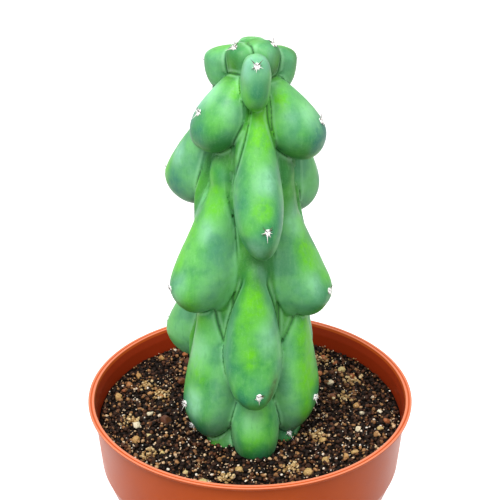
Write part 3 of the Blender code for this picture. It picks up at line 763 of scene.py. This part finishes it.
def colour_layers(mesh, flesh, places, normals, edges):
    """Numbers at each vertex for the skin's colours: creases, tones, and painted shade on
    undersides.
    """
    owner, side, sharp = flesh.crease_layers(places)
    one, other = edges.T
    false_line = (owner[one] == owner[other]) & (side[one] * side[other] < 0.0)
    for ends in (one[false_line], other[false_line]):
        sharp[ends[np.abs(side[ends]) > FALSE_CREASE]] = 0.0
    store(mesh, "crease_side", side * 1000.0)
    store(mesh, "crease_sharp", sharp)

    side_share = np.zeros(len(places))
    up_share = np.zeros(len(places))
    for index, lobe in enumerate(flesh.lobes):
        rows = np.flatnonzero(owner == index)
        across = np.array(lobe.directions()[1])
        z = places[rows, 2]
        half = np.array([lobe.half(height) for height in z]) + 0.0005
        aside = (places[rows] - np.array(AXIS)) @ across
        side_share[rows] = np.clip(np.abs(aside) / half, 0.0, 1.0)
        up_share[rows] = np.clip((z - lobe.bottom) / (lobe.top - lobe.bottom), 0.0, 1.0)
    facing = normals[:, 2]
    tones = {tone: np.zeros(len(places)) for tone in TONES} | {
        "lime": 0.45 * ramp(-side_share, -0.75, -0.1) * ramp(up_share, 0.25, 0.6),
        # Painted reflection along the side edges and painted highlight on top faces, over the
        # skin's pale bloom
        "mint": 0.3 * ramp(side_share, 0.55, 1.0)
                + 0.4 * ramp(facing, 0.2, 0.9) * ramp(-places[:, 2], *TOP_HIGHLIGHT_END),
        # Painted shade: the olive tone darkens faces that look down, the deep tone darkens them
        # further towards the foot
        "olive": 0.5 * ramp(-facing, 0.1, 0.8),
        "deep": 0.7 * ramp(-facing, -0.2, 0.3) * ramp(-places[:, 2], *SHADE_FOOT)}
    # Painted shade in the valleys: the folds between the ribs take the olive tone and lose most of
    # the mint
    hidden = owner >= len(TUBERCLES)
    tones["olive"][hidden] = np.maximum(tones["olive"][hidden], 0.55)
    tones["mint"][hidden] *= 0.3
    for _, spot in areoles():
        away = np.linalg.norm(places - np.array(spot), axis=1)
        tones["teal"] = np.maximum(tones["teal"], 0.55 * ramp(-away, -0.008, -0.001))
    for lobe in TUBERCLES:
        for rise, shift, size, tone, strength in SPOTS.get(lobe.name, ()):
            spot = np.array(surface_place(lobe, rise / 1000, shift / 1000))
            away = np.linalg.norm((places - spot) / (size / 1000 * SPOT_SHAPE), axis=1)
            tones[tone] = np.maximum(tones[tone], strength * ramp(-away, -1.0, -0.2))
    for name, values in tones.items():
        store(mesh, name, relax(values, edges, 1.0, 4))


def surface_place(lobe, rise, shift):
    """A point of a tubercle's own form, from its height above the widest reach and its shift."""
    z = lobe.height + rise
    share = max(-0.95, min(0.95, shift / lobe.half(z)))
    around = math.asin(signed_power(share, SECTION_POWER / 2.0))
    return lobe.place(*lobe.section(z, around), z)


def areoles():
    """Each areole's tubercle and its place on the tubercle's own form."""
    marks = [(lobe, lobe.areole, lobe.areole_side) for lobe in TUBERCLES if lobe.spiny]
    marks += [(lobe, *LOW_AREOLE) for lobe in TUBERCLES if lobe.name == "foot_left_front"]
    return [(lobe, surface_place(lobe, rise, shift)) for lobe, rise, shift in marks]


def skin_material():
    nodes = Nodes("cactus_skin")
    broad = nodes.noise(90.0)
    blotch = nodes.noise(260.0, 4.0, 0.6)
    streak = nodes.noise(1.0, 3.0, 0.6, (700.0, 700.0, 110.0))
    speck = nodes.noise(1600.0, 3.0, 0.6)
    colour = nodes.mix(nodes.spread(broad, 0.35, 0.65), srgb(48, 138, 70), srgb(92, 180, 76))
    for tone, (paint, least) in TONES.items():
        amount = nodes.spread(blotch, 0.3, 0.65, least, 1.0)
        amount = nodes.math("MULTIPLY", nodes.attribute(tone), amount)
        colour = nodes.mix(amount, colour, srgb(*paint))
    colour = nodes.mix(nodes.spread(streak, 0.5, 0.8, 0.0, 0.16), colour, srgb(150, 214, 150))
    colour = nodes.mix(nodes.spread(streak, 0.45, 0.2, 0.0, 0.3), colour, srgb(36, 124, 56))
    colour = nodes.mix(nodes.spread(speck, 0.45, 0.85, 0.0, 0.1), colour, srgb(180, 228, 180))
    away = nodes.math("ABSOLUTE", nodes.attribute("crease_side"), 0.0)
    sharp = nodes.attribute("crease_sharp")
    # Painted highlight: a pale band beside each sharp crease
    crease_highlight = nodes.math("MULTIPLY", nodes.spread(away, 0.6, 1.1), nodes.spread(away, 2.6, 1.2))
    crease_highlight = nodes.math("MULTIPLY", nodes.math("MULTIPLY", sharp, crease_highlight), 0.35)
    colour = nodes.mix(crease_highlight, colour, srgb(160, 224, 170))
    # Painted shade: a dark thin band along each sharp crease
    crease_shade = nodes.math("MULTIPLY", sharp, nodes.spread(away, 0.7, 0.1, 0.0, 0.75))
    nodes.set(Base_Color=nodes.mix(crease_shade, colour, srgb(20, 78, 34)),
              Roughness=nodes.spread(blotch, 0.3, 0.7, 0.36, 0.5), Specular_IOR_Level=0.25,
              Subsurface_Weight=0.08, Subsurface_Radius=(0.4, 1.0, 0.3), Subsurface_Scale=0.003)
    wrinkle = nodes.noise(1.0, 2.0, 0.5, (1200.0, 1200.0, 130.0))
    by_crease = nodes.math("MULTIPLY", sharp, nodes.spread(away, 5.5, 1.0))
    grain = nodes.math("MULTIPLY", nodes.noise(900.0, 4.0, 0.6), 0.12)
    nodes.bump(nodes.math("ADD", nodes.math("MULTIPLY", wrinkle, by_crease), grain), 0.0004, 0.7)
    return nodes.owner


def turned(name, outline, steps, material):
    """Solid of revolution from (radius, height) points that end down the outer side."""
    edges = [(i, i + 1) for i in range(len(outline) - 1)]
    mesh = mesh_from(name, [(radius, 0.0, z) for radius, z in outline], edges=edges)
    piece = link(name, mesh, material)
    screw = piece.modifiers.new("turn", "SCREW")
    screw.steps = steps
    screw.render_steps = steps
    screw.use_merge_vertices = True
    screw.merge_threshold = 0.00001
    return piece


def rounded(points, radius, steps=3):
    """The outline with each inner corner turned on a short curve."""
    made = [points[0]]
    for before, corner, after in zip(points, points[1:], points[2:]):
        corner = Vector(corner)
        back, ahead = Vector(before) - corner, Vector(after) - corner
        reach = min(radius, 0.4 * back.length, 0.4 * ahead.length)
        start = corner + back.normalized() * reach
        end = corner + ahead.normalized() * reach
        for step in range(steps + 1):
            share = step / steps
            made.append(tuple(start * (1 - share) ** 2 + corner * 2 * share * (1 - share)
                              + end * share ** 2))
    made.append(points[-1])
    return made


def pot_outline():
    """(radius, height) points: up the inside from the middle of the floor, down the outside."""
    lip_under = POT_HEIGHT - LIP_THICKNESS
    lip_hollow = POT_HEIGHT - LIP_HOLLOW
    inner_lip = LIP_RADIUS - LIP_WIDTH
    return (
        (0.0, FLOOR), (BASE_RADIUS - WALL, FLOOR),
        (BODY_TOP_RADIUS - WALL, BODY_TOP), (BAND_BOTTOM_RADIUS - WALL, BAND_BOTTOM + 0.001),
        (inner_lip - 0.0014, POT_HEIGHT - 0.005), (inner_lip - 0.0003, POT_HEIGHT - 0.0012),
        (inner_lip, POT_HEIGHT), (inner_lip + 0.0008, POT_HEIGHT),
        (inner_lip + 0.0011, lip_hollow), (LIP_RADIUS - 0.0011, lip_hollow),
        (LIP_RADIUS - 0.0008, POT_HEIGHT), (LIP_RADIUS, POT_HEIGHT),
        (LIP_RADIUS - 0.0002, lip_under), (BAND_TOP_RADIUS, lip_under - 0.0006),
        (BAND_BOTTOM_RADIUS, BAND_BOTTOM + 0.001),
        (BAND_BOTTOM_RADIUS - 0.0008, BAND_BOTTOM - 0.001),
        (BODY_TOP_RADIUS, BODY_TOP), (BASE_RADIUS, 0.001), (BASE_RADIUS - 0.001, 0.0), (0.0, 0.0))


def pot_material():
    nodes = Nodes("pot_plastic")
    cloud = nodes.noise(40.0, 4.0, 0.6)
    colour = nodes.mix(nodes.spread(cloud, 0.3, 0.7), srgb(192, 80, 28), srgb(200, 87, 33))
    # Painted shade: the inner wall takes a darker red-brown
    colour = nodes.mix(nodes.attribute("inside"), colour, srgb(152, 48, 18))
    # Painted highlight: pale bands on the lip's two ridges
    colour = nodes.mix(nodes.attribute("lip_edge"), colour, srgb(236, 142, 108))
    nodes.set(Base_Color=colour, Roughness=nodes.spread(cloud, 0.3, 0.7, 0.3, 0.38),
              Specular_IOR_Level=0.1)
    nodes.bump(nodes.noise(1800.0, 3.0, 0.6), 0.00004, 0.5)
    return nodes.owner


def make_pot():
    pot = turned("nursery_pot", rounded(pot_outline(), LIP_ROUND), POT_STEPS, pot_material())
    shape = bmesh.new()
    for number in range(DRAIN_HOLES):
        turn = Matrix.Rotation(math.tau * (number + 0.5) / DRAIN_HOLES, 4, "Z")
        place = turn @ Matrix.Translation((DRAIN_CIRCLE, 0.0, 0.5 * FLOOR))
        bmesh.ops.create_cone(shape, cap_ends=True, segments=32, depth=3 * FLOOR,
                              radius1=DRAIN_RADIUS, radius2=DRAIN_RADIUS, matrix=place)
    holes = link("drain_holes", baked("drain_holes", shape))
    cut = pot.modifiers.new("drain", "BOOLEAN")
    cut.operation = "DIFFERENCE"
    cut.object = holes
    apply_modifiers(pot)
    bpy.data.objects.remove(holes, do_unlink=True)
    pot.data.shade_smooth()
    pot.data.set_sharp_from_angle(angle=math.radians(40))
    places = read(pot.data.vertices, "co", 3)
    reach = np.hypot(places[:, 0], places[:, 1])
    within = reach < [inner_pot_radius(z) + 0.0002 for z in places[:, 2]]
    # The inner wall below the lip, which the material darkens as painted shade
    store(pot.data, "inside", within & (places[:, 2] < POT_HEIGHT - 0.0015))
    # The lip's top, whose two ridges get a painted highlight
    highlit_ridge = (places[:, 2] > POT_HEIGHT - 0.0002) & (reach > LIP_RADIUS - LIP_WIDTH - 0.0001)
    store(pot.data, "lip_edge", RIDGE_HIGHLIGHT * highlit_ridge)
    finished(pot, "pot_plastic", "pot")


def inner_pot_radius(z):
    """Radius of the inside of the pot at height z."""
    points = [point[::-1] for point in pot_outline()[1:7]]
    for below, above in zip(points, points[1:]):
        if z <= above[0]:
            share = (z - below[0]) / (above[0] - below[0])
            return below[1] + (above[1] - below[1]) * share
    return points[-1][1]


def bed_rise(x, y):
    """Height of the mix above its mean level."""
    spot = Vector((x, y, 0.0))
    return BED_RELIEF * (0.8 * noise.noise(spot * 55.0) + 0.5 * noise.noise(spot * 900.0))


def make_bed():
    """The dark body of the mix under its loose grains."""
    rings = [(SOIL_RADIUS * ring / BED_RINGS, SOIL_TOP - BED_SINK)
             for ring in range(BED_RINGS + 1)]
    floor = FLOOR + BED_SINK
    lower = [(inner_pot_radius(z) - BED_SINK, z) for z in (BAND_BOTTOM, BODY_TOP, floor)]
    bed = turned("potting_mix_bed", rings + lower + [(0.0, floor)], BED_STEPS, bed_material())
    apply_modifiers(bed)
    for vert in bed.data.vertices:
        if vert.co.z > BAND_BOTTOM + 0.001:
            vert.co.z += bed_rise(vert.co.x, vert.co.y)
    bed.data.shade_smooth()
    finished(bed, "potting_mix", "potting_mix")


def grains(name, spots, sizes, level, draw, look, tints=None):
    """Angular grains at the spots, each a ball cut by a few planes, squashed and turned."""
    ball = bmesh.new()
    bmesh.ops.create_icosphere(ball, subdivisions=level, radius=1.0)
    points = np.array([vert.co for vert in ball.verts])
    faces = np.array([[vert.index for vert in face.verts] for face in ball.faces])
    ball.free()
    count = len(spots)
    forms = np.repeat(points[None], count, axis=0)
    forms *= draw.uniform(0.88, 1.08, (count, len(points), 1))
    for _ in range(7):
        normal = draw.normal(size=(count, 3))
        normal /= np.linalg.norm(normal, axis=1, keepdims=True)
        limit = draw.uniform(0.55, 0.9, count)
        over = np.maximum(0.0, np.einsum("gvk,gk->gv", forms, normal) - limit[:, None])
        forms -= over[:, :, None] * normal[:, None, :]
    squash = np.column_stack((np.ones(count), draw.uniform(0.65, 1.0, count),
                              draw.uniform(0.55, 0.85, count)))
    forms *= squash[:, None, :]
    turns = np.array([random_turn(draw) for _ in range(count)])
    forms = np.einsum("gij,gvj->gvi", turns, forms) * sizes[:, None, None] + spots[:, None, :]
    faces = (faces[None] + (np.arange(count) * len(points))[:, None, None]).reshape(-1, 3)
    mesh = mesh_from(name, forms.reshape(-1, 3), faces.tolist())
    mesh.shade_smooth()
    tints = draw.random(count) if tints is None else tints
    store(mesh, "tint", np.repeat(tints, len(points)))
    finished(link(name, mesh, look), "potting_mix")


def random_turn(draw):
    """A rotation that mostly keeps the flat side down."""
    spin = Matrix.Rotation(draw.uniform(0.0, math.tau), 3, "Z")
    pitch, roll = (Matrix.Rotation(draw.normal(0.0, 0.5), 3, axis) for axis in "XY")
    return np.array(spin @ (pitch @ roll))


def make_mix(flesh):
    draw = np.random.default_rng(5)
    looks = {name: grit_material(name, *look) for name, look in GRAIN_LOOKS.items()}
    make_bed()
    columns = np.arange(-SOIL_RADIUS, SOIL_RADIUS, CRUMB_SPACING)
    rows = np.arange(-SOIL_RADIUS / ROW_STEP, SOIL_RADIUS / ROW_STEP, CRUMB_SPACING)
    grid = np.array([(x + (row % 2) * 0.5 * CRUMB_SPACING, y * ROW_STEP)
                     for row, y in enumerate(rows) for x in columns])
    grid += draw.uniform(-0.4, 0.4, grid.shape) * CRUMB_SPACING
    spots, sizes = settled(flesh, grid, draw, *CRUMB)
    brown = draw.random(len(spots)) < BROWN_SHARE
    grains("dark_crumbs", spots[~brown], sizes[~brown], 1, draw, looks["dark_crumbs"])
    grains("brown_crumbs", spots[brown], sizes[brown], 1, draw, looks["brown_grit"])

    spots, sizes = settled(flesh, scattered(draw, GRITS), draw, *GRIT, 2)
    back, more = PALE_SHARES
    pale = draw.random(len(spots)) < back + more * ramp(-spots[:, 1], -0.01, 0.05)
    grains("brown_grit", spots[~pale], sizes[~pale], 2, draw, looks["brown_grit"])
    grains("pale_grit", spots[pale], sizes[pale] * 0.9, 2, draw, looks["pale_grit"])

    spots, sizes = settled(flesh, scattered(draw, SPECKS), draw, *SPECK)
    grains("pale_specks", spots, sizes, 1, draw, looks["pale_grit"])

    spots = [np.array((x, y)) + size * draw.normal(0.0, CLUMP_SPREAD, (CLUMP_GRITS, 2))
             for x, y, size in CLUMPS]
    spots, sizes = settled(flesh, np.vstack(spots), draw, *CLUMP_GRIT)
    grains("tan_clumps", spots, sizes, 2, draw, looks["tan_clumps"])

    stones = np.array(stone_places(draw))
    spots = np.array([(x, y, SOIL_TOP + bed_rise(x, y) + (0.5 - STONE_SINK) * size)
                      for x, y, size, _ in stones])
    grains("pebbles", spots, stones[:, 2], 3, draw, looks["pebbles"], stones[:, 3])


def stone_places(draw):
    """Place, radius and tint of each stone: the known ones, then others drawn as in the model."""
    rng = random.Random(7)
    placed = list(STONES)
    while len(placed) < STONE_COUNT:
        size = rng.uniform(*STONE_SIZES)
        reach = (STONE_RIM - size) * math.sqrt(rng.random())
        turn = rng.uniform(0.0, math.tau)
        x, y = reach * math.cos(turn), reach * math.sin(turn)
        crowded = any(math.hypot(x - other[0], y - other[1]) < size + other[2] + STONE_SPACING
                      for other in placed)
        if not crowded and math.hypot(x - AXIS.x, y - AXIS.y) > PLANT_ROOM:
            placed.append((x, y, size, draw.random()))
    return placed


def settled(flesh, flat, draw, heights, sizes, power=1):
    """Places and sizes of the grains on flat spots that are clear of the plant and the pot."""
    rise = np.array([bed_rise(x, y) for x, y in flat])
    spots = np.column_stack((flat, SOIL_TOP + rise + draw.uniform(*heights, len(flat))))
    sizes = sizes[0] + (sizes[1] - sizes[0]) * draw.random(len(flat)) ** power
    keep = ((np.hypot(spots[:, 0], spots[:, 1]) < SOIL_RADIUS - sizes)
            & (flesh.measure(spots)[1][:, 0] > 0.5 * sizes))
    return spots[keep], sizes[keep]


def scattered(draw, count):
    reach = SOIL_RADIUS * np.sqrt(draw.random(count))
    turn = draw.uniform(0.0, math.tau, count)
    return np.column_stack((reach * np.cos(turn), reach * np.sin(turn)))


def bed_material():
    nodes = Nodes("mix_bed")
    fleck = nodes.noise(700.0, 4.0, 0.7)
    colour = nodes.mix(nodes.spread(fleck, 0.4, 0.7), srgb(12, 8, 6), srgb(34, 22, 16))
    nodes.set(Base_Color=colour, Roughness=0.9, Specular_IOR_Level=0.1)
    nodes.bump(fleck, 0.0006, 0.8)
    return nodes.owner


def grit_material(name, colours, roughness):
    nodes = Nodes(name)
    tint = nodes.attribute("tint")
    mottle = nodes.noise(1500.0, 4.0, 0.65)
    colour, *rest = [srgb(*paint) for paint in colours]
    for step, paint in enumerate(rest):
        share = nodes.spread(tint, step / len(rest), (step + 1) / len(rest))
        colour = nodes.mix(share, colour, paint)
    colour = nodes.mix(nodes.spread(mottle, 0.4, 0.75, 0.0, 0.55), colour, srgb(44, 28, 18))
    nodes.set(Base_Color=colour, Specular_IOR_Level=0.25,
              Roughness=nodes.spread(mottle, 0.3, 0.7, roughness - 0.1, roughness + 0.15))
    nodes.bump(mottle, 0.0002, 0.6)
    return nodes.owner


def areole_seat(place, tree):
    """Seat of an areole on the skin, with Z out of the skin and Y up the slope."""
    found, normal, _, _ = tree.find_nearest(place)
    upward = (Vector((0.0, 0.0, 1.0)) - normal * normal.z).normalized()
    seat = Matrix((upward.cross(normal), upward, normal)).transposed().to_4x4()
    seat.translation = found
    return seat


def spike(shape, matrix, radius, length, sides=6, bend=0.12):
    """A thin tapered spine along Z, bent a little towards Y."""
    made = bmesh.ops.create_cone(shape, cap_ends=True, segments=sides, depth=length,
                                 radius1=radius, radius2=0.15 * radius)
    verts = made["verts"]
    for vert in verts:
        share = vert.co.z / length + 0.5
        vert.co.z += 0.5 * length
        vert.co.y += bend * length * share * share
    bmesh.ops.transform(shape, matrix=matrix, verts=verts)


def make_areoles(skin):
    rng = random.Random(11)
    tree = BVHTree.FromPolygons([vert.co for vert in skin.data.vertices],
                                [tuple(face.vertices) for face in skin.data.polygons])
    wool, pale, dark = bmesh.new(), bmesh.new(), bmesh.new()
    for lobe, spot in areoles():
        seat = areole_seat(spot, tree)
        made = bmesh.ops.create_icosphere(wool, subdivisions=3, radius=WOOL_RADIUS)
        for vert in made["verts"]:
            vert.co *= 1.0 + 0.45 * noise.noise(vert.co * 1800.0 + Vector((lobe.angle, 0, 0)))
        bmesh.ops.transform(wool, matrix=seat @ Matrix.Diagonal((1.0, 1.15, 0.45, 1.0)),
                            verts=made["verts"])
        for _ in range(WOOL_HAIRS):
            lean = math.radians(86 * rng.random() ** 0.4)
            spin = rng.uniform(0.0, math.tau)
            turn = Matrix.Rotation(spin, 4, "Z") @ Matrix.Rotation(lean, 4, "X")
            root = Matrix.Translation((0.0, 0.0, 0.4 * WOOL_RADIUS))
            spike(wool, seat @ turn @ root, HAIR_RADIUS, rng.uniform(*HAIR_LENGTHS), 3, 0.3)
        for spin, lean, length, is_dark in SPINES:
            spin = math.radians(spin + rng.uniform(-12, 12))
            lean = math.radians(lean + rng.uniform(-10, 10))
            turn = Matrix.Rotation(-spin, 4, "Z") @ Matrix.Rotation(-lean, 4, "X")
            shape, radius = (dark, DARK_SPINE_RADIUS) if is_dark else (pale, SPINE_RADIUS)
            spike(shape, seat @ turn, radius, length * rng.uniform(0.8, 1.15))
    ivory = spine_material("pale_spine", srgb(255, 253, 250), srgb(250, 240, 232))
    brown = spine_material("dark_spine", srgb(34, 18, 14), srgb(92, 58, 46))
    for name, shape, material, slot in (
            ("areole_wool", wool, wool_material(), "areole_wool"),
            ("pale_spines", pale, ivory, "spine"), ("dark_spines", dark, brown, "spine")):
        mesh = baked(name, shape)
        mesh.shade_smooth()
        finished(link(name, mesh, material), slot)


def wool_material():
    nodes = Nodes("areole_wool")
    tuft = nodes.noise(2500.0, 3.0, 0.6)
    colour = nodes.mix(nodes.spread(tuft, 0.3, 0.7), srgb(248, 244, 240), srgb(255, 255, 255))
    # Painted light: a faint white glow keeps the wool bright where it lies in shade
    nodes.set(Base_Color=colour, Roughness=0.9, Sheen_Weight=0.5, Specular_IOR_Level=0.1,
              Emission_Color=(1.0, 1.0, 1.0, 1.0), Emission_Strength=0.2)
    nodes.bump(tuft, 0.0002, 0.6)
    return nodes.owner


def spine_material(name, first, second):
    nodes = Nodes(name)
    share = nodes.spread(nodes.noise(900.0), 0.4, 0.6)
    nodes.set(Base_Color=nodes.mix(share, first, second), Roughness=0.45)
    return nodes.owner


def make_cactus(flesh):
    skin = make_skin(flesh)
    skin.data.materials.append(skin_material())
    finished(skin, "cactus_skin", "cactus")
    make_areoles(skin)


def make_stage():
    """A pale floor, a soft sky of light and two soft lamps."""
    shape = bmesh.new()
    bmesh.ops.create_grid(shape, x_segments=1, y_segments=1, size=6.0)
    nodes = Nodes("floor")
    nodes.set(Base_Color=(0.9, 0.9, 0.9, 1.0), Roughness=0.9, Emission_Color=(1.0, 1.0, 1.0, 1.0),
              Emission_Strength=FLOOR_GLOW)
    floor = link("floor", baked("floor", shape), nodes.owner)
    floor.location.z = -0.0003
    floor.visible_diffuse = False
    bpy.context.scene.world = sky()
    for name, place, power, size in LAMPS:
        data = bpy.data.lights.new(name, "AREA")
        data.energy, data.size = power, size
        lamp = link(name, data)
        lamp.location = place
        lamp.rotation_euler = (LAMP_AIM - Vector(place)).to_track_quat("-Z", "Y").to_euler()


def sky():
    """White light from above that falls off to a dim light from below the horizon."""
    nodes = Nodes("studio", "worlds", "Background")
    place = nodes.add("ShaderNodeTexCoord", {}, "Generated")
    height = nodes.add("ShaderNodeSeparateXYZ", {"Vector": place}, "Z")
    nodes.set(Color=(1.0, 1.0, 1.0, 1.0),
              Strength=nodes.spread(height, *SKY_FADE, *SKY_LIGHTS, "LINEAR"))
    return nodes.owner


def make_camera():
    data = bpy.data.cameras.new("camera")
    data.sensor_width = 36.0
    data.lens = CAMERA_LENS
    camera = link("camera", data)
    camera.location = CAMERA_PLACE
    camera.rotation_euler = (math.radians(90 - CAMERA_PITCH), 0.0, 0.0)
    bpy.context.scene.camera = camera


make_camera()
make_stage()
body = Flesh()
make_pot()
make_mix(body)
make_cactus(body)
bpy.context.scene.view_settings.view_transform = "Standard"
